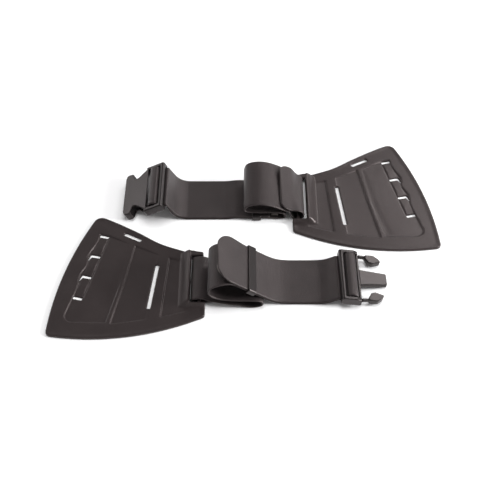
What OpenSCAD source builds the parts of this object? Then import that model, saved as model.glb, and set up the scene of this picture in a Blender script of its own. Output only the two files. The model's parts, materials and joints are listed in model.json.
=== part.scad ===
// A pair of mirror-image wing plates for knee pads, each with its own 2-inch class strap.
// The left half ends in the plug of a side-release buckle, the right half in the socket.
// Both halves lie face up on one flat surface at z = 0, with the origin under the middle of the pair.
// Every half is drawn in its own frame: u runs from the narrow end of the wing to its wide end,
// v runs across the wing, z is up, and the strap leaves the wing towards negative u.

/* [Wing plates] */
// Thickness of the moulded wing plate
plate_t = 2.2; // [2:0.1:2.6]
// Radius of the round bar that the strap hangs on
bar_r = 1.6; // [1.4:0.1:1.8]
// Height of the free edge of the hood beside the strap slot
hood_h = 8; // [6.5:0.5:9]
// Length of the slot that takes the strap
strap_slot_l = 52; // [51:0.5:54]
// Length of the long slot in the middle of the wing
long_slot_l = 49; // [40:1:52]
// Width of the long slot
long_slot_w = 3.2; // [2.5:0.1:3.6]
// Width of the slot near the upper edge
edge_slot_w = 3.6; // [3:0.1:4]
// Distance between the small slots of the row
slot_pitch = 24.3; // [22:0.1:25]
// Width of the small slots of the row
small_slot_w = 2.6; // [2.4:0.1:3.4]
// Depth of the step at the wide side of each sunken panel
step_h = 1.2; // [0.6:0.1:1.6]

/* [Straps] */
// Width of the webbing
web_w = 48; // [46:0.5:48]
// Thickness of the webbing
web_t = 1.5; // [1.2:0.1:1.6]
// Thickness of the hook fastener patches
hook_t = 0.9; // [0.6:0.1:1]
// Width of the keeper rings along the strap
keeper_l = 8; // [6:0.5:9]
// Slope of the left strap where it climbs to the keeper
ramp_deg = 36; // [34:0.5:38]

/* [Buckle] */
// Width of the buckle over its cheeks
buckle_w = 56; // [56:0.5:58]
// Downward tilt of the plug
plug_deg = 8.5; // [7:0.5:9]
// Downward tilt of the socket
socket_deg = 25; // [23:0.5:26]
// Distance between the outsides of the two prongs
prong_span = 51; // [49:0.5:51]
// Width of the guide blade at its tip
blade_w = 12.6; // [11:0.2:14]

/* [Layout] */
// Distance from the middle to the narrow end of each wing
half_x = 43; // [42:0.5:60]
// Position of the left half across the surface
left_y = -57.35; // [-80:0.05:-57]
// Position of the right half across the surface
right_y = 39.75; // [39.5:0.05:60]

/* [Hidden] */

plate_colour = [0.25, 0.23, 0.23];
web_colour = [0.31, 0.29, 0.29];
hook_colour = [0.45, 0.42, 0.4];
buckle_colour = [0.19, 0.18, 0.18];

gap = 0.3;                     // clearance between moving pieces
bar_u = 2.2;                   // axis of the strap bar
bar_z = bar_r + gap + web_t + 0.2;
slot_v = 1;                    // middle of the strap slot across the wing
slot_u = 10;                   // inner edge of the strap slot
layer = web_t + 0.1;           // distance between two layers that lie on each other
lay_z = web_t / 2 + 0.1;       // middle of a layer that lies on the surface
strap_v_left = 0;              // middle of each strap across its wing
strap_v_right = 2;
keeper_wall = 1.2;
keeper_room = 2 * web_t + 0.9;
raised_z = keeper_wall + keeper_room / 2 - layer / 2;  // lower layer inside a keeper that lies flat
row_deg = 13.6;                // slant of the slot row and of the panels
inner_w = web_w + 1.2;         // room between the cheeks of the buckle

// ---------- plane geometry ----------
function unit(a) = a / norm(a);
function turned(a) = [-a.y, a.x];
function mix(a, b, t) = a + (b - a) * t;

// A smooth curve through hand-placed points, `n` steps between neighbours.
function spline_at(a, b, c, d, t) =
    0.5 * (2 * b + (c - a) * t + (2 * a - 5 * b + 4 * c - d) * t * t
        + (3 * b - a - 3 * c + d) * t * t * t);
function spline(p, n = 5) = let (last = len(p) - 1) concat(
    [for (i = [0 : last - 1]) for (k = [0 : n - 1])
        spline_at(p[max(i - 1, 0)], p[i], p[i + 1], p[min(i + 2, last)], k / n)],
    [p[last]]);

function along(p, i) = unit(p[min(i + 1, len(p) - 1)] - p[max(i - 1, 0)]);
function shifted(p, d) = [for (i = [0 : len(p) - 1]) p[i] + d * turned(along(p, i))];
function reversed(p) = [for (i = [len(p) - 1 : -1 : 0]) p[i]];
function ribbon(p, t) = concat(shifted(p, t / 2), reversed(shifted(p, -t / 2)));
function part_of(p, a, b) = [for (i = [a : b]) p[i]];

// A closed outline whose corner i is rounded with radius r[i].
function corner_arc(a, b, c, r, n) = let (
    d1 = unit(a - b), d2 = unit(c - b),
    half = acos(d1 * d2) / 2,
    reach = r / tan(half),
    mid = b + unit(d1 + d2) * r / sin(half),
    p1 = b + d1 * reach - mid, p2 = b + d2 * reach - mid,
    a1 = atan2(p1.y, p1.x), turn = atan2(p2.y, p2.x) - a1,
    sweep = turn > 180 ? turn - 360 : turn < -180 ? turn + 360 : turn)
    [for (k = [0 : n]) mid + r * [cos(a1 + sweep * k / n), sin(a1 + sweep * k / n)]];
function rounded(p, r, n = 6) = let (m = len(p)) [for (i = [0 : m - 1])
    each r[i] <= 0 ? [p[i]] : corner_arc(p[(i + m - 1) % m], p[i], p[(i + 1) % m], r[i], n)];

// Points of the arc that bulges by `bulge` to the left of the chord a-b, ends left out.
function bowed(a, b, bulge, n = 12) = [for (k = [1 : n - 1]) let (t = k / n)
    mix(a, b, t) + turned(unit(b - a)) * bulge * 4 * t * (1 - t)];

// Draws a (u, z) profile and extrudes it across the strap, centred on v.
module across(points, v, w) {
    translate([0, v + w / 2, 0]) rotate([90, 0, 0]) linear_extrude(w) polygon(points);
}

// Extrudes a (u, v) outline upwards.
module slab(points, z, t) {
    translate([0, 0, z]) linear_extrude(t) polygon(points);
}

// ---------- the two halves and the two buckles ----------
module left_half() {
    translate([-half_x, left_y, 0]) mirror([1, 0, 0]) children();
}

module right_half() {
    translate([half_x, right_y, 0]) children();
}

// A buckle's own frame: x runs along the buckle from its hinge, y across it, z out of its face.
module buckle_at(h, deg, v) {
    translate([h.x, v, h.y]) rotate([0, -deg, 0]) mirror([1, 0, 0]) children();
}

// ---------- wing plate ----------
wide_top = [100.4, 78];
wide_bottom = [133, -57.6];
narrow_top = [-0.5, 30.5];
narrow_bottom = [-3, -38];
top_edge = spline([[6, 31.6], [22, 37], [40, 44.4], [60, 57], [80, 68.6], [92, 74.8]], 4);
wing_outline = rounded(concat(
    [narrow_bottom], bowed(narrow_bottom, wide_bottom, -11, 10),
    [wide_bottom], bowed(wide_bottom, wide_top, -7.5, 10),
    [wide_top], reversed(top_edge), [narrow_top]),
    concat([3.5], [for (i = [1 : 9]) 0], [5.5], [for (i = [1 : 9]) 0],
        [7.5], [for (p = top_edge) 0], [3]), 7);

// A place on the slanted grid of the wing: a along the row direction, b towards the wide end.
row_top = [92.3, 53.2];
along_row = [sin(row_deg), -cos(row_deg)];
out_row = [cos(row_deg), sin(row_deg)];
function on_row(a, b) = row_top + a * along_row + b * out_row;

strip_w = 8.2;                 // length of a small slot
slot_half = small_slot_w / 2;
module slanted_slot(centre, l, w, deg) {
    translate([centre.x, centre.y, -1]) rotate([0, 0, deg]) linear_extrude(plate_t + 4)
        polygon(rounded([[-l / 2, -w / 2], [l / 2, -w / 2], [l / 2, w / 2], [-l / 2, w / 2]],
            [w, w, w, w] * 0.45, 4));
}

// A slot of the row that crosses it from side to side. The two in the middle also open along the wide side.
module row_slot(k, tail) {
    h = slot_half;
    e = strip_w / 2;
    corners = tail
        ? [[-h, -e], [h, -e], [h, e - 1], [h + 4.2, e + 1], [h + 4.2, e + 1.5], [0.2, e + 1], [-h, e]]
        : [[-h, -e], [h, -e], [h, e], [-h, e]];
    translate([0, 0, -1]) linear_extrude(plate_t + 4)
        polygon([for (c = corners) on_row(k * slot_pitch + c[0], c[1])]);
}

// A sunken panel: shallow at its foot and step_h deep at the step on its wide side.
module louver_cut(outline, foot, run) {
    shallow = plate_t - 0.3 * step_h;
    deep = plate_t - step_h;
    intersection() {
        slab(outline, deep - 0.1, step_h + 1);
        translate([foot.x, foot.y, 0]) rotate([0, 0, row_deg])
            across([[-20, shallow], [0, shallow], [run, deep], [run + 30, deep], [run + 30, plate_t + 2],
                [-20, plate_t + 2]], 0, 160);
    }
}

// The wide side of the third panel waves round the ends of the row's slots: [slot pitches along, distance out].
panel_wave = spline([[-0.09, 4.7], [0.35, 4.5], [0.8, 6.7], [1.1, 7.2], [1.45, 4.9], [1.8, 6.5], [2.1, 7],
    [2.5, 4.8], [3.08, 4.8]], 4);

// Three louvers: beside the strap slot, in the middle and round the slot row.
module louver_cuts() {
    louver_cut([[25, 25.8], [23.5, -36], [35.9, -39.3], [31.2, 27.8]], [24.3, -5], 10);
    louver_cut([[41, 31], [48, -42.5], [79, -46.3], [69.6, 2], [63.3, 42.6]], [45, -5], 27);
    louver_cut(concat([[69.5, 43.2], [73, -2], [89.5, -44], [115.5, -43.4], [119.2, -41.6], [119.9, -38]],
        [for (p = reversed(panel_wave)) on_row(p[0] * slot_pitch, p[1])], [on_row(-2.2, -4.6)]), [74.5, -5], 32);
}

// The hood beside the strap slot: a rounded lip, a crest and a back that falls to the plate.
hood_profile = [[22.5, plate_t - 0.3], [21, plate_t + 0.2], [13.6, hood_h - 0.4], [12.2, hood_h],
    [10.8, hood_h - 0.4], [10.2, hood_h - 1.2], [10.2, hood_h - 2.4], [12, hood_h - 2.4], [16.5, plate_t - 0.3]];

module strap_slot_cut() {
    translate([-10, slot_v - strap_slot_l / 2, -1]) cube([slot_u + 10, strap_slot_l, 20]);
}

module bar_ends() {
    end_r = bar_z;
    for (side = [-1, 1]) {
        y0 = slot_v + side * strap_slot_l / 2;
        translate([0, min(y0, y0 + side * 3.5), 0]) intersection() {
            translate([bar_u, 0, bar_z]) rotate([-90, 0, 0]) cylinder(r = end_r, h = 3.5, $fn = 48);
            translate([-10, -1, 0]) cube([20, 6, 20]);
        }
    }
}

module wing() {
    color(plate_colour) union() {
        difference() {
            union() {
                slab(wing_outline, 0, plate_t);
                across(hood_profile, slot_v, strap_slot_l + 6);
                bar_ends();
            }
            louver_cuts();
            strap_slot_cut();
            for (k = [0 : 3]) row_slot(k, k == 1 || k == 2);
            slanted_slot([43.7, -5.1], long_slot_l, long_slot_w, 96);
            slanted_slot([65.7, 52], 18, edge_slot_w, 27.7);
        }
        translate([bar_u, slot_v - strap_slot_l / 2 - 1, bar_z]) rotate([-90, 0, 0])
            cylinder(r = bar_r, h = strap_slot_l + 2, $fn = 48);
    }
}

// ---------- left strap ----------
// Each path is the middle line of the webbing in (u, z).
ramp_t = tan(ramp_deg);
ramp_mid = [-47, 14.6];
function on_ramp(u) = [u, ramp_mid.y + (u - ramp_mid.x) * ramp_t];
ramp_up = [cos(ramp_deg), sin(ramp_deg)];
ramp_out = turned(ramp_up);

left_hook_leg = spline([[-30, 0.9], [-22, 2], [-12, 2.5], [-4, 1.7], [bar_u - 1, 0.95], [6, 1.9]]);
left_fold = spline([[6, 1.9], [7.8, 3.9], [7.2, 6], [4.4, 7], [0, 6.8], [-5, 6], [-12, 5.6], [-22, 4.9],
    [-30, 3.6], [-36, 1.9], [-42, lay_z], [-48, 1.2], [-52.4, 3], [-53.6, 5.6], [-52, 8.2],
    [-47.4, 9.6], [-40, 10], [-30, 10.2], [-21, 10.8], [-13.8, 12.6], [-8.6, 16.2], [-6.4, 20.8],
    [-7.6, 25.4], [-12, 28.8], [-18.6, 30], [-25, 29.2], [-30.6, 26.4], on_ramp(-37), on_ramp(-42),
    on_ramp(-47), on_ramp(-52), on_ramp(-57), [-62.6, 4.1], [-69, 1.9], [-76, 1], [-84, lay_z],
    [-98, lay_z], [-105.8, 1.2], [-112.3, 3], [-118.4, 6.4]]);
left_path = concat(left_hook_leg, [for (i = [1 : len(left_fold) - 1]) left_fold[i]]);

// The webbing is doubled from the buckle back to the keeper.
left_end = len(left_path) - 1;
left_double = part_of(left_path, left_end - 60, left_end);
function hinge_of(p, side) = let (k = len(p) - 1, d = along(p, k))
    p[k] + turned(d) * side * layer / 2 + d * (web_t + gap + 0.1);
left_hinge = hinge_of(left_path, -1);

tab_start = on_ramp(-36.2) + ramp_out * layer;
tab_l = 29.5;
left_keeper_mid = on_ramp(-42.6) + ramp_out * layer / 2;

module left_strap() {
    color(web_colour) left_half() across(ribbon(left_path, web_t), strap_v_left, web_w);
}

module left_hook_patch() {
    color(hook_colour) left_half()
        across(ribbon(shifted(part_of(left_hook_leg, 1, 14), (web_t + hook_t) / 2 + 0.05), hook_t),
            strap_v_left, web_w - 3);
}

module left_strap_tail() {
    tail_end = tab_start - ramp_up * (web_t / 2 + gap);
    kept = [for (p = shifted(left_double, -layer)) if (p.x < tail_end.x - 1) p];
    color(web_colour) left_half() across(ribbon(concat([tail_end], kept), web_t), strap_v_left, web_w);
}

// A piece of webbing lying along x with a round nose at x = 0 and a round free end.
module tab(l, w, t, end_r) {
    rotate([90, 0, 0]) cylinder(r = t / 2, h = w, center = true, $fn = 32);
    slab(rounded([[0, -w / 2], [l, -w / 2], [l, w / 2], [0, w / 2]], [0, end_r, end_r, 0], 10), -t / 2, t);
}

module left_tail_tab() {
    color(web_colour) left_half() translate([tab_start.x, strap_v_left, tab_start.y])
        rotate([0, -ramp_deg, 0]) tab(tab_l, web_w, web_t, 16);
}

module left_tail_hook_patch() {
    color(hook_colour) left_half() translate([tab_start.x, strap_v_left, tab_start.y])
        rotate([0, -ramp_deg, 0]) slab(rounded([[16, -20], [tab_l - 2, -20], [tab_l - 2, 20], [16, 20]],
            [2, 9, 9, 2], 8), -web_t / 2 - hook_t - 0.05, hook_t);
}

// A ring of rounded plastic around two layers of webbing, drawn along x.
module keeper() {
    difference() {
        rotate([90, 0, 90]) linear_extrude(keeper_l, center = true) polygon(rounded(
            [for (p = [[-1, -1], [1, -1], [1, 1], [-1, 1]])
                [p.x * (web_w / 2 + 0.7 + keeper_wall), p.y * (keeper_room / 2 + keeper_wall)]], [2, 2, 2, 2], 5));
        cube([keeper_l + 2, web_w + 1.4, keeper_room], center = true);
    }
}

module left_keeper() {
    color(buckle_colour) left_half() translate([left_keeper_mid.x, strap_v_left, left_keeper_mid.y])
        rotate([0, -ramp_deg, 0]) keeper();
}

// ---------- right strap ----------
right_leg = spline([[bar_u + 1.6, 1.25], [bar_u - 1.6, 1.1], [-2.2, 2], [-4.2, 4.8], [-5.4, 8.6], [-7.8, 12.4],
    [-12, 15.8], [-18, 19.2], [-24, 21.9], [-30, 23.5], [-36, 23.8], [-42, 22.6], [-46.4, 19.8],
    [-48.2, 16], [-46.8, 12.4], [-42.6, 10.4], [-35, 9.8], [-27, 9.8], [-19.4, 9.6], [-13, 8.8],
    [-9.6, 5.6], [-11, 2.5], [-15.4, 1.5], [-22, raised_z], [-28, raised_z], [-34, raised_z],
    [-42, raised_z], [-50, raised_z], [-56, raised_z], [-64, 1.1], [-72, lay_z], [-98, lay_z],
    [-104.6, 1.3], [-110.6, 3.6], [-115.2, 7.8], [-118.2, 13], [-120, 18.6]]);
right_end = len(right_leg) - 1;
right_hinge = hinge_of(right_leg, -1) + [-1.2, 0];
// The upper end of the loop around the bar, where the hook tab begins.
right_over = spline([[bar_u + 1.6, 1.25], [6.2, 3.4], [7.2, 6.2], [6, 9.2], [3.2, 11.2]]);
right_path = concat(reversed(right_over), part_of(right_leg, 1, right_end));
right_tab_deg = 27;
right_tab_axis = right_over[len(right_over) - 1]
    + [-cos(right_tab_deg), sin(right_tab_deg)] * (web_t / 2 + gap);
right_tab_l = 19.5;
right_keeper_u = -37;

module right_strap() {
    color(web_colour) right_half() across(ribbon(right_path, web_t), strap_v_right, web_w);
}

module right_tab_frame() {
    right_half() translate([right_tab_axis.x, strap_v_right, right_tab_axis.y])
        rotate([0, right_tab_deg, 0]) mirror([1, 0, 0]) children();
}

module right_hook_tab() {
    color(web_colour) right_tab_frame() tab(right_tab_l, web_w, web_t, 9);
}

module right_hook_patch() {
    color(hook_colour) right_tab_frame()
        slab([[8, -21], [right_tab_l - 2, -17], [right_tab_l - 2, 17], [8, 21]], -web_t / 2 - hook_t - 0.05, hook_t);
}

right_double = [for (i = [0 : right_end]) if (i > 22 * 5 && right_leg[i].x < -30) right_leg[i]];
right_tail_path = concat(spline([[-15, 5.3], [-20, 5.2], [-25, 4.7]]), shifted(right_double, -layer));

module right_strap_tail() {
    color(web_colour) right_half() across(ribbon(right_tail_path, web_t), strap_v_right, web_w);
}

module right_tail_hook_patch() {
    color(hook_colour) right_half() translate([0, strap_v_right, 0])
        slab([[-23, -21], [-16.5, -21], [-16.5, 21], [-23, 21]], raised_z + web_t / 2 + 0.1, hook_t);
}

module right_keeper() {
    color(buckle_colour) right_half() translate([right_keeper_u, strap_v_right, raised_z + layer / 2])
        keeper();
}

// ---------- buckle ----------
// Bars of both buckle ends, in the buckle's own (x, z) frame.
back_bar = [[1.8, 2], [6.6, 2], [6.6, 6.6], [1.8, 6.6]];
centre_bar = [[9.6, 1.6], [14.6, 1.6], [14.6, 6], [9.6, 6]];
wrap_path = spline([[0, layer / 2], [5.4, layer / 2], [7.4, 1.9], [7.9, 4.6], [9, 6.7], [11.6, 7.5],
    [14.4, 7.1], [15.9, 5.4], [16, 2.6], [14.8, 0.5], [11.8, -0.6], [6, -layer / 2],
    [0, -layer / 2]]);

module buckle_bars() {
    across(rounded(back_bar, [1.6, 1.6, 2.2, 2.2], 5), 0, buckle_w - 1);
    across(rounded(centre_bar, [1.2, 1.2, 1.8, 1.8], 5), 0, buckle_w - 1);
}

module strap_wrap() {
    across(ribbon(wrap_path, web_t), 0, web_w);
    rotate([90, 0, 0]) cylinder(r = web_t + 0.05, h = web_w, center = true, $fn = 40);
}

// A cheek plate on each side, with its (x, z) outline.
module cheeks(outline) {
    t = (buckle_w - inner_w) / 2;
    for (side = [-1, 1]) across(outline, side * (inner_w + t) / 2, t);
}

module at_plug() {
    left_half() buckle_at(left_hinge, plug_deg, strap_v_left) children();
}

module at_socket() {
    right_half() buckle_at(right_hinge, socket_deg, strap_v_right) children();
}

module left_strap_wrap() {
    color(web_colour) at_plug() strap_wrap();
}

module right_strap_wrap() {
    color(web_colour) at_socket() strap_wrap();
}

shoulder_x = 19.6;             // front of the plug's cross bar
blade_x = 44.4;                // tip of the guide blade
blade_z = -0.4;
blade_t = 3.8;
prong_axis = [shoulder_x + 1.4, prong_span / 2 - 1.2];
prong_x = 40.4;                // tip of the prongs

module plug_frame() {
    color(buckle_colour) at_plug() difference() {
        union() {
            buckle_bars();
            cheeks(rounded([[1.8, -1.4], [shoulder_x, -1.4], [shoulder_x, 5], [15.4, 6.8], [1.8, 6.6]],
                [1.4, 1, 2, 4, 2.2], 5));
            translate([17.4, -inner_w / 2 - 1, -1.2]) cube([shoulder_x - 17.4, inner_w + 2, 5.6]);
            slab(rounded([[shoulder_x - 1, -8.8], [27, -7.8], [blade_x, -blade_w / 2],
                [blade_x, blade_w / 2], [27, 7.8], [shoulder_x - 1, 8.8]], [0, 0, 1.4, 1.4, 0, 0], 4),
                blade_z, blade_t);
        }
        for (side = [-1, 1]) translate([prong_axis.x, side * prong_axis.y, -5])
            cylinder(r = 1.2 + gap, h = 20, $fn = 40);
    }
}

// One sprung prong: a slim arm with an arrow head, for side = 1 (far) or -1 (near).
module prong(side) {
    outer = prong_span / 2;
    union() {
        translate([prong_axis.x, side * prong_axis.y, 0.2]) cylinder(r = 1.2, h = 3.4, $fn = 40);
        slab(side_of([[prong_axis.x, outer - 2.4], [28, outer - 2.8], [28, outer - 0.8], [prong_axis.x, outer]], side),
            0.2, 3.4);
        slab(rounded(side_of([[26, outer - 3.2], [28.6, outer - 8.4], [32.4, outer - 9.6],
            [prong_x, outer - 7], [prong_x - 1.6, outer - 3.6], [34, outer + 0.2], [26.6, outer]], side),
            [0, 1.4, 1.6, 1, 1.4, 4, 0.6], 4), -0.8, 5.2);
    }
}
function side_of(p, side) = [for (q = p) [q.x, q.y * side]];

module plug_prong_far() {
    color(buckle_colour) at_plug() prong(1);
}

module plug_prong_near() {
    color(buckle_colour) at_plug() prong(-1);
}

mouth_x = 43.2;
shell_z0 = -2.6;
shell_z1 = 6.2;
body_x = 18.8;
room_z0 = -1;
room_z1 = 4.6;

// Outline of half the socket seen from above, from the bars to the mouth.
shell_side = [[body_x, 26.6], [30, 17.4], [33.2, 17.4], [35.4, 25.4], [mouth_x - 1, 25.6], [mouth_x, 21]];

module socket_shell() {
    outline = concat([for (p = shell_side) [p.x, -p.y]], reversed(shell_side));
    radii = [0, 5, 1.2, 2.5, 3, 0, 0, 3, 2.5, 1.2, 5, 0];
    color(buckle_colour) at_socket() difference() {
        union() {
            buckle_bars();
            cheeks(rounded([[1.8, -1.6], [body_x + 2, shell_z0 + 0.3], [body_x + 2, shell_z1 - 0.3], [1.8, 6.8]],
                [1.4, 0, 0, 2.2], 5));
            slab(rounded(outline, radii, 5), shell_z0, shell_z1 - shell_z0);
        }
        translate([body_x + 3, -inner_w / 2 + 0.4, room_z0])
            cube([mouth_x - body_x, inner_w - 0.8, room_z1 - room_z0]);
    }
}

module left_wing_plate() {
    left_half() wing();
}

module right_wing_plate() {
    right_half() wing();
}

left_wing_plate();
left_strap();
left_hook_patch();
left_strap_tail();
left_tail_tab();
left_tail_hook_patch();
left_keeper();
left_strap_wrap();
plug_frame();
plug_prong_far();
plug_prong_near();
right_wing_plate();
right_strap();
right_hook_tab();
right_hook_patch();
right_strap_tail();
right_tail_hook_patch();
right_keeper();
right_strap_wrap();
socket_shell();
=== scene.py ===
"""Looks of a pair of knee pad wings with their folded straps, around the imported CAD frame.

Each half has its own coordinates, in millimetres: u runs along the strap from the narrow end of the wing
(positive on the wing, negative on the strap), v runs across the strap, z is up.
"""

import math

import bmesh
import bpy
import numpy as np
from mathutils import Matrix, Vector
from mathutils.geometry import delaunay_2d_cdt
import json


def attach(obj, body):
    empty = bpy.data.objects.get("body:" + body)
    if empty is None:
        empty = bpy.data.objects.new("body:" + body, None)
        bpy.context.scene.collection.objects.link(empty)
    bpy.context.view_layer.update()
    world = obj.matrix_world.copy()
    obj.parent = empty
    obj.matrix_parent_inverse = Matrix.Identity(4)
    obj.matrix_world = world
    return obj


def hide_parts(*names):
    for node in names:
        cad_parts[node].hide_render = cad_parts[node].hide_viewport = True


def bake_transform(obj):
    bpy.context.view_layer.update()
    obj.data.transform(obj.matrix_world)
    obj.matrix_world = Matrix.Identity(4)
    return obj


MM = 0.001
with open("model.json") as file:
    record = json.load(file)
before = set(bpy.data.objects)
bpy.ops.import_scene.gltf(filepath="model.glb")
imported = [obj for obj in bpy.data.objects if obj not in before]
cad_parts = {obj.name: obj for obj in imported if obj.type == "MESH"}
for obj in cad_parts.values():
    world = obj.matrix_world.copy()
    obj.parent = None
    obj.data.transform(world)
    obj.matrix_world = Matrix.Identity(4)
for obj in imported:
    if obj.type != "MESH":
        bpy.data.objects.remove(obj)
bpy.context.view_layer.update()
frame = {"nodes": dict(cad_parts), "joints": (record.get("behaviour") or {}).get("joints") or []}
scene = bpy.context.scene
JOINTS = {j["name"]: j for j in frame["joints"]}

# ---------- driving sizes, in millimetres ----------
BAR_U, BAR_Z, BAR_R = 2.2, 3.6, 1.6      # the round bar that a strap hangs on
WEB_W, WEB_T = 48.0, 1.5                 # webbing width and thickness
LAYER = WEB_T + 0.1                      # distance between two layers that lie on each other
LAY_Z = WEB_T / 2 + 0.1                  # middle of a layer that lies on the surface
RAISED_Z = 2.35                          # the same inside a keeper that lies flat
RAMP_DEG = 36.0                          # climb of the left strap to its keeper
PLUG_DEG, SOCKET_DEG = 8.5, 25.0         # downward tilt of the two buckle halves
PLATE_T, STEP_H = 2.2, 1.2               # wing thickness, depth of a panel's step
SLOT_MID, SLOT_HALF, SLOT_U = 0.5, 26.0, 10.0   # the slot beside the bar
STRAP_V = {"left": 0.0, "right": 2.0}    # middle of each strap across its wing
SIGN = {"left": -1.0, "right": 1.0}

bar_at = {side: Vector(JOINTS[side + "_strap_swing"]["pos_m"]) / MM for side in SIGN}
HALF_X = abs(bar_at["left"].x) - BAR_U
ORIGIN_Y = {side: bar_at[side].y - STRAP_V[side] for side in SIGN}


def place(side, points):
    """(u, v, z) rows of one half, in millimetres, as points of the row frame, in metres."""
    p = np.asarray(points, float).reshape(-1, 3)
    x = SIGN[side] * (HALF_X + p[:, 0])
    return np.column_stack([x, ORIGIN_Y[side] + p[:, 1], p[:, 2]]) * MM


# ---------- plane geometry ----------
def spline(points, steps=5):
    """A smooth curve through given points, `steps` pieces between neighbours."""
    p = np.asarray(points, float)
    padded = np.vstack([p[:1], p, p[-1:]])
    out = []
    for a, b, c, d in zip(padded, padded[1:], padded[2:], padded[3:]):
        for t in np.arange(steps) / steps:
            out.append(0.5 * (2 * b + (c - a) * t + (2 * a - 5 * b + 4 * c - d) * t**2
                              + (3 * b - a - 3 * c + d) * t**3))
    return np.array(out + [p[-1]])


def bowed(a, b, bulge, steps=24):
    """Points of the shallow arc from a to b that bulges to its left."""
    a, b = np.array(a, float), np.array(b, float)
    t = np.linspace(0, 1, steps + 1)[:, None]
    left = np.array([a[1] - b[1], b[0] - a[0]]) / np.linalg.norm(b - a)
    return a + (b - a) * t + left * bulge * 4 * t * (1 - t)


def rounded(points, radii, steps=8):
    """A closed outline whose corners are rounded with these radii."""
    p = [np.array(q, float) for q in points]
    out = []
    for i, r in enumerate(radii):
        a, b, c = p[i - 1], p[i], p[(i + 1) % len(p)]
        if r <= 0:
            out.append(b)
            continue
        d1, d2 = (a - b) / np.linalg.norm(a - b), (c - b) / np.linalg.norm(c - b)
        half = math.acos(float(np.clip(d1 @ d2, -1, 1))) / 2
        reach = r / math.tan(half)
        middle = b + (d1 + d2) / np.linalg.norm(d1 + d2) * r / math.sin(half)
        start, end = b + d1 * reach - middle, b + d2 * reach - middle
        a1 = math.atan2(start[1], start[0])
        turn = (math.atan2(end[1], end[0]) - a1 + math.pi) % (2 * math.pi) - math.pi
        out += [middle + r * np.array([math.cos(a1 + turn * k / steps), math.sin(a1 + turn * k / steps)])
                for k in range(steps + 1)]
    return np.array(out)


def resampled(loop, spacing):
    """A closed loop with points no further apart than `spacing`."""
    out = []
    for a, b in zip(loop, np.roll(loop, -1, axis=0)):
        n = max(1, math.ceil(np.linalg.norm(b - a) / spacing))
        out += [a + (b - a) * k / n for k in range(n)]
    return np.array(out)


def is_inside(loop, points):
    """Which points lie inside a closed loop."""
    x, y = points[:, 0][:, None], points[:, 1][:, None]
    a, b = loop, np.roll(loop, -1, axis=0)
    crosses = (a[:, 1] > y) != (b[:, 1] > y)
    rise = np.where(b[:, 1] == a[:, 1], 1e-12, b[:, 1] - a[:, 1])
    at = a[:, 0] + (y - a[:, 1]) / rise * (b[:, 0] - a[:, 0])
    return (crosses & (x < at)).sum(axis=1) % 2 == 1


def distance_to(loop, points):
    """Distance from each point to a closed loop."""
    a, b = loop, np.roll(loop, -1, axis=0)
    d = b - a
    out = np.empty(len(points))
    for i in range(0, len(points), 2000):
        q = points[i:i + 2000, None, :] - a
        t = np.clip((q * d).sum(2) / np.maximum((d * d).sum(1), 1e-12), 0, 1)
        out[i:i + 2000] = np.linalg.norm(q - d * t[..., None], axis=2).min(axis=1)
    return out


def smooth(t):
    t = np.clip(t, 0, 1)
    return t * t * (3 - 2 * t)


def offset_ring(loop, d, spacing):
    """Points at distance d to the left of a closed loop."""
    p = resampled(loop, spacing)
    along = np.roll(p, -1, axis=0) - np.roll(p, 1, axis=0)
    along /= np.maximum(np.linalg.norm(along, axis=1), 1e-9)[:, None]
    return p + d * np.column_stack([-along[:, 1], along[:, 0]])


# ---------- meshes ----------
def new_object(name, vertices, faces, material, smooth_faces=True):
    """A mesh object with its vertices in the row frame and its faces turned outwards."""
    mesh = bpy.data.meshes.new(name)
    mesh.from_pydata([tuple(v) for v in vertices], [], [tuple(int(i) for i in f) for f in faces])
    bm = bmesh.new()
    bm.from_mesh(mesh)
    bmesh.ops.recalc_face_normals(bm, faces=bm.faces)
    bm.to_mesh(mesh)
    bm.free()
    mesh.polygons.foreach_set("use_smooth", [smooth_faces] * len(mesh.polygons))
    mesh.materials.append(material)
    obj = bpy.data.objects.new(name, mesh)
    scene.collection.objects.link(obj)
    return obj


def joined(parts):
    """One list of vertices and faces from several (vertices, faces) pairs."""
    vertices, faces, start = [], [], 0
    for v, f in parts:
        vertices.append(np.asarray(v, float))
        faces += [tuple(i + start for i in face) for face in f]
        start += len(v)
    return np.vstack(vertices), faces


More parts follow.
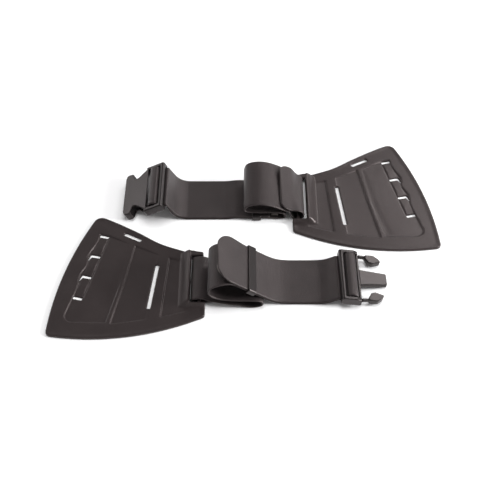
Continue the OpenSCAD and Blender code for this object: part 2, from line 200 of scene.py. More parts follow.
# ---------- materials ----------
class Nodes:
    """Short names for the nodes of one material."""

    def __init__(self, name, colour, roughness, specular=0.5):
        self.material = bpy.data.materials.new(name)
        self.material.use_nodes = True
        self.tree = self.material.node_tree
        self.shader = self.tree.nodes["Principled BSDF"]
        self.shader.inputs["Base Color"].default_value = (*colour, 1)
        self.shader.inputs["Roughness"].default_value = roughness
        self.shader.inputs["Specular IOR Level"].default_value = specular
        self.shader.inputs["Specular Tint"].default_value = (1, 0.88, 0.87, 1)
        self.height = None

    def node(self, kind, values=None, **settings):
        n = self.tree.nodes.new(kind)
        for key, value in settings.items():
            setattr(n, key, value)
        for key, value in (values or {}).items():
            n.inputs[key].default_value = value
        return n

    def link(self, output, target):
        self.tree.links.new(output, target)

    def place(self, scale=(1, 1, 1), uv=None):
        """Object coordinates, or those of a UV map, in millimetres."""
        source = self.node("ShaderNodeUVMap", uv_map=uv) if uv else self.node("ShaderNodeTexCoord")
        mapping = self.node("ShaderNodeMapping", {"Scale": [1000 * s for s in scale]})
        self.link(source.outputs["UV" if uv else "Object"], mapping.inputs["Vector"])
        return mapping.outputs["Vector"]

    def noise(self, where, size, detail=3.0, roughness=0.55):
        n = self.node("ShaderNodeTexNoise", {"Scale": 1 / size, "Detail": detail, "Roughness": roughness})
        self.link(where, n.inputs["Vector"])
        return n.outputs["Fac"]

    def maths(self, operation, a, b=None, clamp=False):
        n = self.node("ShaderNodeMath", operation=operation, use_clamp=clamp)
        for k, value in enumerate((a, b)):
            if isinstance(value, (int, float)):
                n.inputs[k].default_value = value
            elif value is not None:
                self.link(value, n.inputs[k])
        return n.outputs[0]

    def weighted(self, *terms):
        """The sum of (value, weight) pairs."""
        total = None
        for value, weight in reversed(terms):
            part = self.maths("MULTIPLY", value, weight)
            total = part if total is None else self.maths("ADD", part, total)
        return total

    def colour(self, value, low, high, colours):
        """Colours the surface by a value, from the first colour at `low` to the second at `high`."""
        n = self.node("ShaderNodeValToRGB")
        self.link(value, n.inputs["Fac"])
        for element, position, colour in zip(n.color_ramp.elements, (low, high), colours):
            element.position = position
            element.color = (*colour, 1)
        self.link(n.outputs["Color"], self.shader.inputs["Base Color"])

    def ranged(self, value, low, high):
        n = self.node("ShaderNodeMapRange", {"To Min": low, "To Max": high})
        self.link(value, n.inputs["Value"])
        return n.outputs["Result"]

    def bump(self, height, depth_mm, strength=1.0):
        """Adds a bump on top of the bumps made before it."""
        n = self.node("ShaderNodeBump", {"Strength": strength, "Distance": depth_mm * MM})
        self.link(height, n.inputs["Height"])
        if self.height:
            self.link(self.height, n.inputs["Normal"])
        self.height = n.outputs["Normal"]
        self.link(self.height, self.shader.inputs["Normal"])


def scaled(colour, factor):
    return tuple(c * factor for c in colour)


RIB_PITCH, WARP_PITCH = 0.85, 1.1        # spacing of the webbing's ribs and warp threads, in millimetres


def moulded_plastic(name, colour, roughness, grain_mm, gloss_change=0.08):
    """Moulded plastic: fine spark grain, faint flow clouds, scuffs that are a little lighter and rougher."""
    m = Nodes(name, colour, roughness)
    where = m.place()
    clouds = m.noise(where, 26.0, 2.0)
    scuffs = m.noise(m.place((1, 0.25, 1)), 3.2, 6.0, 0.7)
    worn = m.maths("MULTIPLY", m.maths("SUBTRACT", scuffs, 0.56, True), 3.0, True)
    value = m.weighted((clouds, 0.6), (worn, 0.5))
    m.colour(value, 0.1, 0.85, (scaled(colour, 0.82), scaled(colour, 1.28)))
    m.link(m.ranged(value, roughness - gloss_change, roughness + gloss_change), m.shader.inputs["Roughness"])
    m.bump(m.noise(where, grain_mm, 2.0), 0.035)
    m.bump(m.noise(where, 9.0, 1.0), 0.05)
    return m.material


def woven_webbing(name, colour, roughness):
    """Narrow-fabric webbing: fine ribs across it, warp threads along it, soft wear, a light shader sheen, and
    streaks along it that are painted sheen in its colour and also vary its gloss.
    """
    m = Nodes(name, colour, roughness)
    threads = m.place(uv="weave")
    split = m.node("ShaderNodeSeparateXYZ")
    m.link(threads, split.inputs["Vector"])
    along, across = split.outputs["X"], split.outputs["Y"]
    ribs = m.maths("SINE", m.maths("MULTIPLY", along, 2 * math.pi / RIB_PITCH))
    warp = m.maths("SINE", m.maths("MULTIPLY", across, 2 * math.pi / WARP_PITCH))
    twill = m.maths("SINE", m.maths("ADD", m.maths("MULTIPLY", along, math.pi / RIB_PITCH),
                                    m.maths("MULTIPLY", across, math.pi / WARP_PITCH)))
    weave = m.weighted((ribs, 0.5), (warp, 0.3), (twill, 0.35))
    # Painted sheen: the streaks along the webbing lighten and darken its colour like glossy highlight bands;
    # they also vary its roughness.
    sheen_streaks = m.noise(m.place((0.06, 1, 1), uv="weave"), 0.7, 4.0, 0.65)
    clouds = m.noise(m.place(), 14.0, 3.0)
    value = m.weighted((sheen_streaks, 0.55), (clouds, 0.4), (weave, 0.07))
    m.colour(value, 0.25, 0.75, (scaled(colour, 0.6), scaled(colour, 1.45)))
    m.link(m.ranged(sheen_streaks, roughness - 0.12, roughness + 0.14), m.shader.inputs["Roughness"])
    m.shader.inputs["Sheen Weight"].default_value = 0.12
    m.shader.inputs["Sheen Roughness"].default_value = 0.4
    m.bump(weave, 0.06)
    m.bump(m.noise(threads, 0.35, 2.0), 0.03)
    m.bump(clouds, 0.12)
    return m.material


def hook_tape(name, colour):
    """Hook fastener: rows of small hooks on a woven back, rough and a little paler than the webbing."""
    m = Nodes(name, colour, 0.75)
    where = m.place()
    hooks = m.node("ShaderNodeTexVoronoi", {"Scale": 1 / 0.9, "Randomness": 0.45})
    m.link(where, hooks.inputs["Vector"])
    value = m.maths("ADD", hooks.outputs["Distance"], m.maths("MULTIPLY", m.noise(where, 5.0), 0.4))
    m.colour(value, 0.15, 0.95, (scaled(colour, 1.35), scaled(colour, 0.6)))
    m.shader.inputs["Sheen Weight"].default_value = 0.2
    m.bump(hooks.outputs["Distance"], -0.3)
    return m.material


WING = moulded_plastic("wing_moulding", (0.024, 0.0188, 0.0188), 0.42, 0.5)
BUCKLE = moulded_plastic("buckle_moulding", (0.0075, 0.0066, 0.0067), 0.34, 0.35, 0.06)
WEBBING = woven_webbing("strap_webbing", (0.019, 0.0152, 0.0154), 0.42)
HOOKS = hook_tape("hook_fastener", (0.2, 0.18, 0.165))

# ---------- wings ----------
WIDE_TOP, WIDE_BOTTOM = (100.4, 78.0), (133.0, -57.6)
NARROW_TOP, NARROW_BOTTOM = (-0.5, 30.5), (-3.0, -38.0)
TOP_EDGE = spline([[6, 31.6], [22, 37], [40, 44.4], [60, 57], [80, 68.6], [92, 74.8]], 6)
ROW_DEG = 13.6                           # slant of the slot row
ROW_TOP = np.array([92.3, 53.2])         # the first small slot
ALONG_ROW = np.array([math.sin(math.radians(ROW_DEG)), -math.cos(math.radians(ROW_DEG))])
OUT_ROW = np.array([math.cos(math.radians(ROW_DEG)), math.sin(math.radians(ROW_DEG))])
SLOT_PITCH, SMALL_SLOT_W, STRIP_W = 24.3, 2.5, 8.2   # spacing and width of the small slots, their length
SLOT_TAIL = 4.2                          # how far the tails of the middle slots run along the row
LONG_SLOT = ((43.7, -5.1), 49, 3.2, 96, 0.9)      # centre, length, width, slant and corner radius
EDGE_SLOT = ((65.7, 52), 18, 3.6, 27.7, 1.6)
HOOD_PROFILE = spline([[-5, 4.7], [10, 4.8], [11, 5.5], [12.4, 5.8], [14, 5.2], [16, 3.7], [18, 1.8],
                       [19.8, 0.5], [21.6, 0.04], [24, 0], [200, 0]], 8)
HOOD_END_V = (33.2, -29.5)               # far and near end of the hood


def wing_outline():
    """The plate's edge, with the notch that the strap passes through."""
    far, near = SLOT_MID + SLOT_HALF, SLOT_MID - SLOT_HALF
    bottom = bowed(NARROW_BOTTOM, WIDE_BOTTOM, -11)[1:-1]
    side = bowed(WIDE_BOTTOM, WIDE_TOP, -7.5)[1:-1]
    corners = [NARROW_BOTTOM, *bottom, WIDE_BOTTOM, *side, WIDE_TOP, *TOP_EDGE[::-1], NARROW_TOP,
               (NARROW_TOP[0], far), (SLOT_U + 0.2, far), (SLOT_U + 0.2, near), (NARROW_BOTTOM[0], near)]
    radii = ([3.5] + [0] * len(bottom) + [5.5] + [0] * len(side) + [7.5] + [0] * len(TOP_EDGE) + [1.4]
             + [0.9, 0.8, 0.8, 0.9])
    return rounded(corners, radii)


def slanted_slot(centre, length, width, deg, radius):
    """A slot with rounded ends, as a closed outline."""
    l, w = length / 2, width / 2
    shape = rounded([(-l, -w), (l, -w), (l, w), (-l, w)], [radius] * 4, 4)
    a = math.radians(deg)
    turn = np.array([[math.cos(a), math.sin(a)], [-math.sin(a), math.cos(a)]])
    return np.array(centre) + shape @ turn


def on_row(a, b):
    """A place on the slot row: a along the row, b towards the wide end."""
    return ROW_TOP + a * ALONG_ROW + b * OUT_ROW


def small_slot(k):
    """Slot k of the row. The two in the middle have a thin tail along the wide side of the row."""
    h, e = SMALL_SLOT_W / 2, STRIP_W / 2
    shape = [(-h, -e), (h, -e), (h, e), (-h, e)]
    radii = [0.7, 0.7, 0.7, 0.7]
    if k in (1, 2):
        tail = h + SLOT_TAIL
        shape = [(-h, -e), (h, -e), (h, e - 0.8), (tail, e + 1.1), (tail, e + 1.4), (0, e + 0.6), (-h, e)]
        radii = [0.7, 0.7, 0.8, 0.1, 0.1, 1.4, 0.6]
    return np.array([on_row(k * SLOT_PITCH + a, b) for a, b in rounded(shape, radii, 4)])


WAVE = np.array([  # the wide side of the third panel: (slot pitches along the row, distance from the row)
    (-0.09, 4.7), (0.05, 4.5), (0.35, 4.5), (0.6, 5.5), (0.8, 6.7), (1.0, 7.3), (1.15, 7.0), (1.3, 5.6),
    (1.45, 4.9), (1.6, 5.3), (1.8, 6.5), (2.0, 7.1), (2.15, 6.8), (2.3, 5.5), (2.5, 4.8), (2.8, 4.6),
    (3.08, 4.8),
])
PANELS = [  # corners from the foot's top round to the step's top, radii, the step's first corner, fall
    ([(17.5, 24.4), (11, -32.5), (35.9, -39.3), (31.2, 27.8)], [2, 2, 1.2, 1.2], 2, 0.6),
    ([(40, 31), (47, -41.8), (79, -46.3), (69.6, 2), (63.3, 42.6)], [2, 2, 1.2, 0, 1.2], 2, 0.6),
    ([(66.5, 43.2), (71.6, 2), (81.8, -45.2), (121.3, -44)]
     + [tuple(on_row(a * SLOT_PITCH, b)) for a, b in spline(WAVE, 4)[::-1]] + [tuple(on_row(-2.2, -4.6))],
     [2, 0, 2, 7.5] + [0] * (4 * len(WAVE) - 3) + [0.8], 3, 1.0),
]
PANEL_LOOPS = [rounded(corners, radii, 6) for corners, radii, *_ in PANELS]
CREASE = [(71.9, 43), (75.8, 18), (80.4, -6), (85.6, -25), (91.2, -42)]   # a soft fold of the third panel
CREASE_H = 0.16


def panel_rise(points):
    """Depth of the three sunken panels: each falls away from the plate, to a step on its wide side."""
    rise = np.zeros(len(points))
    for (corners, _, step_from, fall), loop in zip(PANELS, PANEL_LOOPS):
        from_foot = path_distance(points, corners[:2])
        to_step = path_distance(points, corners[step_from:])
        climb = from_foot / np.maximum(from_foot + to_step, 1e-6)
        inset = np.where(is_inside(loop, points), distance_to(loop, points), 0)
        rise -= STEP_H * climb**fall * smooth(inset)
    return rise


def crease_rise(points):
    """A shallow dip beside the soft fold, on the side of the third panel's foot."""
    fold = np.array(CREASE)[::-1]
    before = points[:, 0] < np.interp(points[:, 1], fold[:, 1], fold[:, 0])
    from_crease = np.where(before, path_distance(points, CREASE), 0)
    along = smooth((44 - points[:, 1]) / 5) * smooth((points[:, 1] + 43) / 5)
    return -CREASE_H * along * smooth(from_crease / 4.2) * smooth((9 - from_crease) / 6)


def path_distance(points, path):
    """Distance from points to an open path."""
    out = np.full(len(points), 1e9)
    for a, b in zip(np.array(path, float), np.array(path[1:], float)):
        d = b - a
        t = np.clip((points - a) @ d / max(d @ d, 1e-9), 0, 1)
        out = np.minimum(out, np.linalg.norm(points - a - t[:, None] * d, axis=1))
    return out


def row_rise(points):
    """The strips between the small slots bow up a little, and a fine groove marks their narrow side."""
    rel = points - ROW_TOP
    a, b = rel @ ALONG_ROW / SLOT_PITCH, rel @ OUT_ROW
    within = smooth((a + 0.02) * 12) * smooth((3.02 - a) * 12)
    bow = 0.35 * np.sin(np.pi * np.clip(a, 0, 3) % np.pi) ** 2 * smooth((4.4 - np.abs(b)) / 1.5)
    groove = 0.5 * np.exp(-(((b + 4.6) / 0.45) ** 2))
    return within * (bow - groove)


def hood_rise(points):
    """The scoop over the strap slot."""
    far, near = HOOD_END_V
    end = smooth((far - points[:, 1]) / 1.4) * smooth((points[:, 1] - near) / 4.5)
    return np.interp(points[:, 0], HOOD_PROFILE[:, 0], HOOD_PROFILE[:, 1]) * end


def wing_loops():
    """The outer edge and the holes of the plate."""
    return [wing_outline(), slanted_slot(*LONG_SLOT), slanted_slot(*EDGE_SLOT), *map(small_slot, range(4))]


BEAD_H, TOP_EDGE_R, BOTTOM_EDGE_R = 0.3, 0.9, 0.4   # bead along the rim, roundings of the edges
EDGE_RINGS = (0.3, 0.7, 1.2, 2.2)        # distances from an edge or a step at which the plate is sampled
STEP_RINGS = (-0.15, 0.2, 0.45, 0.75, 1.05, 1.4, 2.0)


def in_hood(points):
    """Which points lie in the part of the plate that is sampled on a straight grid."""
    return (np.abs(points[:, 0] - 17.6) < 7.3) & (np.abs(points[:, 1] - SLOT_MID) < 33)


def grid(us, vs, stagger=0.0):
    """Every (u, v) pair, with every other row moved by `stagger` along u."""
    u, v = np.meshgrid(us, vs)
    u = u + (np.arange(len(v)) % 2)[:, None] * stagger
    return np.column_stack([u.ravel(), v.ravel()])


def on_plate(loops, points):
    """Which points lie inside the outer edge and outside every hole."""
    return is_inside(loops[0], points) & ~np.any([is_inside(hole, points) for hole in loops[1:]], axis=0)


def wing_points(loops):
    """Where the plate's surface is sampled: finely along edges, steps and the hood, coarsely elsewhere."""
    clouds = []
    for loop in loops:
        clouds += [offset_ring(loop, side * d, 1.0) for d in EDGE_RINGS for side in (-1, 1)]
    for loop in PANEL_LOOPS:
        clouds += [offset_ring(loop, d, 1.0) for d in STEP_RINGS]
    coarse = grid(np.arange(-4, 142, 2.1), np.arange(-66, 80, 2.1), 1.05)
    clouds = [c[~in_hood(c)] for c in clouds]
    across_hood = [np.arange(-31.9, -25.4, 0.5), np.arange(-24.8, 26.8, 1.7), np.arange(27.4, 34.4, 0.5)]
    row = grid(np.arange(-3, 3 * SLOT_PITCH + 3, 0.9), np.arange(-6, 6.1, 0.6))
    clouds += [
        grid(np.arange(10.6, 25, 0.6), np.concatenate(across_hood)),
        on_row(0, 0) + np.outer(row[:, 0], ALONG_ROW) + np.outer(row[:, 1], OUT_ROW),
        coarse[~in_hood(coarse)],
    ]
    points = np.vstack(clouds)
    keep = on_plate(loops, points)
    for loop in loops:
        keep &= distance_to(loop, points) > 0.22
    points = points[keep]
    _, first = np.unique(np.round(points / 0.4).astype(int), axis=0, return_index=True)
    return points[np.sort(first)]


def edge_round(distance, radius):
    """How far a rounded edge falls at this distance from it."""
    inset = radius - np.minimum(distance, radius)
    return radius - np.sqrt(np.maximum(radius**2 - inset**2, 0))


def triangulated(loops, inner):
    """Points and triangles of the flat plate: its loops, joined up with the inner points."""
    edges, start = [], 0
    for loop in loops:
        edges += [(start + k, start + (k + 1) % len(loop)) for k in range(len(loop))]
        start += len(loop)
    made = delaunay_2d_cdt([Vector(p) for p in np.vstack(loops + [inner])], edges, [], 0, 1e-5)
    points = np.array([tuple(p) for p in made[0]])
    triangles = np.array(made[2])
    return points, triangles[on_plate(loops, points[triangles].mean(axis=1))]


def closed_shell(points, triangles, top, bottom):
    """A plate with these heights of its top and underside, closed along every edge."""
    n = len(points)
    vertices = np.vstack([np.column_stack([points, top]), np.column_stack([points, bottom])])
    faces = [tuple(t) for t in triangles] + [tuple(t[::-1] + n) for t in triangles]
    sides = np.vstack([triangles[:, [0, 1]], triangles[:, [1, 2]], triangles[:, [2, 0]]])
    _, where, counts = np.unique(np.sort(sides, axis=1), axis=0, return_index=True, return_counts=True)
    faces += [(a, a + n, b + n, b) for a, b in sides[where[counts == 1]]]
    return vertices, faces


def wing_surface():
    """Vertices and faces of the moulded plate as (u, v, z)."""
    loops = [resampled(loop, 1.1) for loop in wing_loops()]
    points, triangles = triangulated(loops, wing_points(loops))
    outer = distance_to(loops[0], points)
    rim = np.min([outer] + [distance_to(hole, points) for hole in loops[1:]], axis=0)
    bead = BEAD_H * smooth(outer / 0.8) * smooth((3.4 - outer) / 1.6)
    hood = hood_rise(points)
    relief = row_rise(points) + panel_rise(points) + crease_rise(points) + bead
    top = PLATE_T + hood + relief - edge_round(rim, TOP_EDGE_R)
    bottom = hood * smooth((points[:, 0] - 8) / 2) + edge_round(rim, BOTTOM_EDGE_R)
    return closed_shell(points, triangles, top, bottom)


def bar_with_ends():
    """The round strap bar and the rounded bosses that carry it, as a turned shape along v."""
    reach, boss = SLOT_HALF + 1.9, 2.3
    half = [(reach, 0), (reach, boss - 1), (reach - 0.3, boss - 0.3), (reach - 1, boss),
            (SLOT_HALF + 0.4, boss), (SLOT_HALF + 0.1, boss - 0.2), (SLOT_HALF - 0.2, BAR_R + 0.2),
            (SLOT_HALF - 0.8, BAR_R)]
    outline = half + [(-v, r) for v, r in half[::-1]]
    return turned_shape(outline, (BAR_U, SLOT_MID, BAR_Z), 40)


def turned_shape(outline, middle, sides):
    """An outline of (v, radius) turned about the line along v through (u, v, z) middle."""
    vertices, faces = [], []
    for v, r in outline:
        for k in range(sides):
            a = 2 * math.pi * k / sides
            vertices.append((middle[0] + r * math.cos(a), middle[1] + v, middle[2] + r * math.sin(a)))
    for i in range(len(outline) - 1):
        for k in range(sides):
            a, b = i * sides + k, i * sides + (k + 1) % sides
            faces.append((a, b, b + sides, a + sides))
    return np.array(vertices), faces


def wings():
    surface, bar = wing_surface(), bar_with_ends()
    for side in SIGN:
        vertices, faces = joined([(place(side, v), f) for v, f in (surface, bar)])
        wing = new_object(side + "_wing", vertices, faces, WING)
        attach(wing, side + "_wing")
        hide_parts(side + "_wing_plate")


# ---------- webbing ----------
def direction(path):
    """The unit direction of an open path at each of its points."""
    d = np.gradient(path, axis=0)
    return d / np.maximum(np.linalg.norm(d, axis=1), 1e-9)[:, None]


def normal_of(path):
    along = direction(path)
    return np.column_stack([-along[:, 1], along[:, 0]])


def shifted(path, d):
    return path + d * normal_of(path)


def length_along(path):
    """Length from the start of an open path to each of its points."""
    return np.concatenate([[0], np.cumsum(np.linalg.norm(np.diff(path, axis=0), axis=1))])


def even(path, spacing):
    """An open path with evenly spaced points."""
    s = length_along(path)
    at = np.linspace(0, s[-1], max(2, round(s[-1] / spacing) + 1))
    return np.column_stack([np.interp(at, s, path[:, k]) for k in range(path.shape[1])])


# Where the webbing has points across its width, from -1 to 1, closer together at its edges.
ACROSS = np.concatenate([[-1, -0.996, -0.985, -0.965], np.linspace(-0.94, 0.94, 27), [0.965, 0.985, 0.996, 1]])
SIDE_SOFT, END_SOFT = 0.55 * WEB_T, 0.7  # distance over which its edges and its ends thin out


def end_narrowing(left, radius):
    """How far each edge of a strap draws in at its round far end; `left` is the length still to go."""
    depth = np.maximum(radius - left, 0)
    return radius - np.sqrt(np.maximum(radius**2 - depth**2, 0))


def ripple(s, x, seed):
    """Slight unevenness of the webbing, which fades out towards its edges."""
    waves = np.sin(s / 7.1 + 2.3 * x + seed) * np.sin(s / 17.0 + 1.1 * seed)
    return 0.06 * waves * min(1, (1 - abs(x)) * 9)


def flat_tube_faces(rows, m):
    """Faces of a closed tube made of rings that have m points above and m below."""
    ring = list(range(m)) + list(range(2 * m - 1, m - 1, -1))
    faces = []
    for i in range(rows - 1):
        here, after = i * 2 * m, (i + 1) * 2 * m
        faces += [(here + a, here + b, after + b, after + a) for a, b in zip(ring, ring[1:] + ring[:1])]
    for i in (0, rows - 1):
        faces += [tuple(i * 2 * m + j for j in (k, k + 1, m + k + 1, m + k)) for k in range(m - 1)]
    return faces


def webbing(name, side, path, shape, end_radius=0.0, seed=0.0):
    """A flat strap along a (u, z) path, closed, with soft edges, a round far end if asked, and a "weave" map.

    shape(points, s, x) moves the finished points: s is the length along the path in millimetres and x runs
    from -1 at the near edge to 1 at the far one."""
    path = even(path, 0.9)
    normal, s = normal_of(path), length_along(path)
    left = s[-1] - s
    half = WEB_W / 2 - end_narrowing(left, end_radius)
    from_side = np.minimum(1, (1 - np.abs(ACROSS)) * WEB_W / 2 / SIDE_SOFT)
    from_end = np.clip(np.minimum(s, left) / END_SOFT, 0, 1)
    thin_sides = np.sqrt(np.maximum(1 - (1 - from_side) ** 2, 0))
    thin_ends = np.sqrt(np.maximum(1 - (1 - from_end) ** 2, 0.02))
    vertices, weave = [], []
    for face in (1, -1):
        for k, x in enumerate(ACROSS):
            off = face * WEB_T / 2 * thin_sides[k] * thin_ends + ripple(s, x, seed)
            u, z = (path + normal * off[:, None]).T
            points = np.column_stack([u, STRAP_V[side] + x * half, z])
            vertices.append(shape(points, s, x))
            weave.append(np.column_stack([s, x * half]) * MM)
    vertices = np.array(vertices).transpose(1, 0, 2).reshape(-1, 3)
    weave = np.array(weave).transpose(1, 0, 2).reshape(-1, 2)
    obj = new_object(name, place(side, vertices), flat_tube_faces(len(path), len(ACROSS)), WEBBING)
    uv = obj.data.uv_layers.new(name="weave")
    index = np.empty(len(obj.data.loops), int)
    obj.data.loops.foreach_get("vertex_index", index)
    uv.data.foreach_set("uv", weave[index].ravel())
    return obj, s[-1]


def on_ramp(u, out=0.0):
    """A place on the left strap's climb, `out` above the lower layer."""
    a = math.radians(RAMP_DEG)
    return [u - out * math.sin(a), 14.6 + (u + 47) * math.tan(a) + out * math.cos(a)]


# Middle lines of the webbing, as (u, z) points. WRAP runs round a buckle's bar in the buckle's own frame.
LEFT_HOOK_LEG = [[-30, 0.9], [-22, 2], [-12, 2.5], [-4, 1.7], [BAR_U - 1, 0.95], [5.6, 1.2], [8.4, 2.3]]
LEFT_FOLD = [[9.1, 3.9], [7.6, 5.4], [4.8, 6.6], [1.2, 7.3], [-2.2, 7.1], [-6.2, 6.1], [-12, 5.6],
             [-22, 4.9], [-30, 3.6], [-36, 1.9], [-42, LAY_Z], [-48, 1.2], [-52.4, 3], [-53.6, 5.6],
             [-52, 8.2], [-47.4, 9.6], [-40, 10], [-30, 10.2], [-21, 10.8], [-13.8, 12.6], [-8.6, 16.2],
             [-6.4, 20.8], [-7.6, 25.4], [-12, 28.8], [-18.6, 30], [-25, 29.2], [-30.6, 26.4],
             on_ramp(-37), on_ramp(-42), on_ramp(-47), on_ramp(-52), on_ramp(-57), [-62.6, 4.1],
             [-69, 1.9], [-76, 1], [-84, LAY_Z], [-98, LAY_Z], [-105.8, 1.2], [-112.3, 3], [-118.4, 6.4]]
RIGHT_LEG = [[BAR_U + 1.6, 1.25], [BAR_U - 1.6, 1.1], [-2.2, 2], [-4.2, 4.8], [-5.4, 8.6], [-7.8, 12.4],
             [-12, 15.8], [-18, 19.2], [-24, 21.9], [-30, 23.5], [-36, 23.8], [-42, 22.6], [-46.4, 19.8],
             [-48.2, 16], [-46.8, 12.4], [-42.6, 10.4], [-35, 9.8], [-27, 9.8], [-19.4, 9.6], [-13, 8.8],
             [-9.6, 5.6], [-11, 2.5], [-15.4, 1.5], [-22, RAISED_Z], [-28, RAISED_Z], [-34, RAISED_Z],
             [-42, RAISED_Z], [-50, RAISED_Z], [-56, RAISED_Z], [-64, 1.1], [-72, LAY_Z], [-98, LAY_Z],
             [-104.6, 1.3], [-110.6, 3.6], [-115.2, 7.8], [-118.2, 13], [-120, 18.6]]
RIGHT_OVER = [[BAR_U + 1.6, 1.25], [6.3, 2.9], [7.3, 5.4], [7, 8], [5.5, 10.2], [3, 11.7]]
WRAP = [[0, LAYER / 2], [5.4, LAYER / 2], [7.4, 1.9], [7.9, 4.6], [9, 6.7], [11.6, 7.5], [14.4, 7.1],
        [15.9, 5.4], [16, 2.6], [14.8, 0.5], [11.8, -0.6], [6, -LAYER / 2], [0, -LAYER / 2]]


def in_buckle(points, hinge, deg):
    """(s, h) points of a buckle's own frame as (u, z)."""
    a, p = math.radians(deg), np.asarray(points, float)
    u = hinge[0] - p[:, 0] * math.cos(a) - p[:, 1] * math.sin(a)
    z = hinge[1] - p[:, 0] * math.sin(a) + p[:, 1] * math.cos(a)
    return np.column_stack([u, z])


def hinge_of(side, joint):
    """Where a joint's axis crosses the strap, as (u, z)."""
    p = Vector(JOINTS[joint]["pos_m"]) / MM
    return (SIGN[side] * p.x - HALF_X, p.z)


def strap_route(leg, hinge, deg, back_to):
    """The whole middle line of one strap: out along the leg, round the buckle's bar and back to u = back_to."""
    out = spline(leg)
    wrap = in_buckle(spline(WRAP)[::-1], hinge, deg)
    outward = out[out[:, 0] > hinge[0] + 5]
    back = shifted(out, -LAYER)[::-1]
    back = back[(back[:, 0] > hinge[0] + 5) & (back[:, 0] < back_to)]
    stop = np.argmax(np.diff(back[:, 0], append=back[-1, 0] - 1) < 0)
    return np.vstack([outward, wrap, back[:stop + 1]])


LEFT_SEAM_U, RIGHT_TAIL_U = -44.8, -24.0   # where the upper layers of the two straps end
LEFT_CLIMB_S = 190                       # length of the left strap up to the foot of its keeper


def rolled_fold(points, s, x):
    """The far edges of the right loop and tab stand a little higher than the near ones."""
    lifted = smooth((points[:, 2] - 9) / 8) * smooth((points[:, 0] + 52) / 6) * smooth((5 - points[:, 0]) / 9)
    points[:, 2] += lifted * 4.4 * (x + 0.3)
    return points


def shifted_fold(points, s, x):
    """The lower fold and the loop of the left strap lie a little nearer than its two ends."""
    leaving, returning = smooth((s - 44) / 34), smooth((s - LEFT_CLIMB_S + 24) / 24)
    points[:, 1] += 1.0 - 4.6 * leaving + 3.6 * returning
    return points


def lifted_tab(points, s, x):
    """The far corner of the left tab stands up a little."""
    points[:, 2] += 3.4 * smooth((s - 4) / 26) * (x + 1) / 2
    return points


def reshaped(obj, side, shape):
    """Moves the points of a piece that lies on a shaped strap in the same way as the strap."""
    p = np.array([v.co for v in obj.data.vertices]) / MM
    u, v = SIGN[side] * p[:, 0] - HALF_X, p[:, 1] - ORIGIN_Y[side]
    s = (u - LEFT_SEAM_U - 0.3) / math.cos(math.radians(RAMP_DEG))
    moved = shape(np.column_stack([u, v, p[:, 2]]), s, (v - STRAP_V[side]) / (WEB_W / 2))
    obj.data.vertices.foreach_set("co", place(side, moved).ravel())


def webbing_pieces():
    left_hinge, right_hinge = hinge_of("left", "plug_tilt"), hinge_of("right", "socket_tilt")
    left = strap_route(LEFT_HOOK_LEG + LEFT_FOLD, left_hinge, PLUG_DEG, LEFT_SEAM_U)
    strap, length = webbing("left_webbing", "left", left, shifted_fold, seed=0.4)
    bend(strap)
    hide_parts("left_strap", "left_strap_tail", "left_strap_wrap")

    right = strap_route(RIGHT_LEG, right_hinge, SOCKET_DEG, RIGHT_TAIL_U)
    strap, length = webbing("right_webbing", "right", right, rolled_fold, seed=1.9)
    bend(strap)
    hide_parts("right_strap", "right_strap_tail", "right_strap_wrap")

    tab_start = hinge_of("left", "left_tab_peel")
    path = np.array([on_ramp(LEFT_SEAM_U + 0.3, LAYER), on_ramp(tab_start[0] + 24, LAYER)])
    tab, length = webbing("left_tab_webbing", "left", path, lifted_tab, 16, seed=3.0)
    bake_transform(tab)
    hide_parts("left_tail_tab")

    over = spline(RIGHT_OVER)
    tilt = np.array([-math.cos(math.radians(27)), math.sin(math.radians(27))])
    path = np.vstack([over, over[-1] + np.outer([5, 10, 15, 20.2], tilt)])
    tab, length = webbing("right_tab_webbing", "right", path, rolled_fold, 9, seed=5.0)
    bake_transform(tab)
    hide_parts("right_hook_tab")


def bend(strap):
    """Bakes the strap's placement into its mesh."""
    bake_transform(strap)


# ---------- moulded pieces that keep the frame's shape ----------
def moulded(name, node, body, material, voxel=0.38, passes=7):
    """A copy of a CAD node with small rounded edges, made by remeshing it in voxels and smoothing it."""
    source = frame["nodes"][node]
    mesh = source.data.copy()
    mesh.materials.clear()
    mesh.materials.append(material)
    obj = bpy.data.objects.new(name, mesh)
    scene.collection.objects.link(obj)
    weld = obj.modifiers.new("weld", "WELD")
    weld.merge_threshold = 0.00001
    remesh = obj.modifiers.new("remesh", "REMESH")
    remesh.mode = "VOXEL"
    remesh.voxel_size = voxel * MM
    remesh.use_smooth_shade = True
    relax = obj.modifiers.new("smooth", "SMOOTH")
    relax.factor = 0.5
    relax.iterations = passes
    apply_modifiers(obj)
    obj.data.polygons.foreach_set("use_smooth", [True] * len(obj.data.polygons))
    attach(obj, body)
    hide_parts(node)
    return obj


def apply_modifiers(obj):
    graph = bpy.context.evaluated_depsgraph_get()
    made = bpy.data.meshes.new_from_object(obj.evaluated_get(graph))
    obj.modifiers.clear()
    obj.data = made


def plastic_pieces():
    for node, body in (("plug_frame", "plug"), ("plug_prong_far", "plug_prong_far"),
                       ("plug_prong_near", "plug_prong_near"), ("socket_shell", "socket"),
                       ("left_keeper", "left_keeper"), ("right_keeper", "right_keeper")):
        moulded(node + "_moulding", node, body, BUCKLE)


def hook_pieces():
    for node, body in (("left_hook_patch", "left_strap"), ("left_tail_hook_patch", "left_tab"),
                       ("right_hook_patch", "right_tab"), ("right_tail_hook_patch", "right_strap")):
        tape = moulded(node + "_tape", node, body, HOOKS, 0.3, 1)
        if node in TAB_SHAPES:
            reshaped(tape, *TAB_SHAPES[node])


TAB_SHAPES = {"right_hook_patch": ("right", rolled_fold), "left_tail_hook_patch": ("left", lifted_tab)}

wings()
webbing_pieces()
plastic_pieces()
hook_pieces()


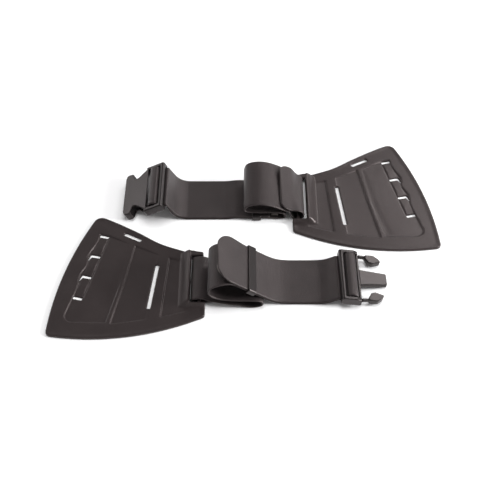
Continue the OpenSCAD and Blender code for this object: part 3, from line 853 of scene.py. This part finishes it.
# ---------- stage, lights and camera ----------
def floor():
    size = 8.0
    vertices = [(-size, -size, 0), (size, -size, 0), (size, size, 0), (-size, size, 0)]
    m = Nodes("studio_floor", (0.93, 0.93, 0.935), 0.6, 0.2)
    m.colour(m.noise(m.place(), 90.0, 2.0), 0.3, 0.7, ((0.92, 0.92, 0.925), (0.94, 0.94, 0.945)))
    new_object("studio_floor", vertices, [(0, 1, 2, 3)], m.material, False)


def area_light(name, location, size, power):
    """A square light that faces the middle of the pair."""
    data = bpy.data.lights.new(name, "AREA")
    data.size = size
    data.energy = power
    light = bpy.data.objects.new(name, data)
    light.location = location
    light.rotation_euler = (-Vector(location)).to_track_quat("-Z", "Y").to_euler()
    scene.collection.objects.link(light)
    return light


LIGHTS = [  # name, location, size and power
    ("key", (1.25, -0.15, 0.5), 0.4, 22),
    ("sheen", (0.75, 1.0, 1.05), 0.5, 6.5),
    ("left", (-1.05, 0.95, 0.75), 0.5, 2.0),
    ("top", (0, 0.1, 1.6), 1.0, 16),
]


def studio():
    """A white tent: bright near the horizon, dimmer overhead, with a soft key light from the right."""
    scene.view_settings.view_transform = "Standard"
    world = scene.world or bpy.data.worlds.new("studio")
    scene.world = world
    world.use_nodes = True
    tree = world.node_tree
    where = tree.nodes.new("ShaderNodeTexCoord")
    split = tree.nodes.new("ShaderNodeSeparateXYZ")
    fade = tree.nodes.new("ShaderNodeMapRange")
    for key, value in (("From Min", 0.4), ("From Max", 0.8), ("To Min", 0.62), ("To Max", 0.12)):
        fade.inputs[key].default_value = value
    tree.links.new(where.outputs["Generated"], split.inputs["Vector"])
    tree.links.new(split.outputs["Z"], fade.inputs["Value"])
    background = tree.nodes["Background"]
    background.inputs["Color"].default_value = (1, 0.985, 0.985, 1)
    tree.links.new(fade.outputs["Result"], background.inputs["Strength"])
    lights = {name: area_light(name, *rest) for name, *rest in LIGHTS}
    lights["top"].visible_glossy = False   # fills the shadows without a reflection


def camera():
    elevation, distance = math.radians(50), 863 * MM
    target = Vector((-7.15, -10.15, 0)) * MM
    data = bpy.data.cameras.new("camera")
    data.lens = 69.2
    data.sensor_width = 36
    cam = bpy.data.objects.new("camera", data)
    cam.rotation_euler = (math.pi / 2 - elevation, 0, 0)
    cam.location = target + Vector((0, -math.cos(elevation), math.sin(elevation))) * distance
    scene.collection.objects.link(cam)
    scene.camera = cam


floor()
studio()
camera()
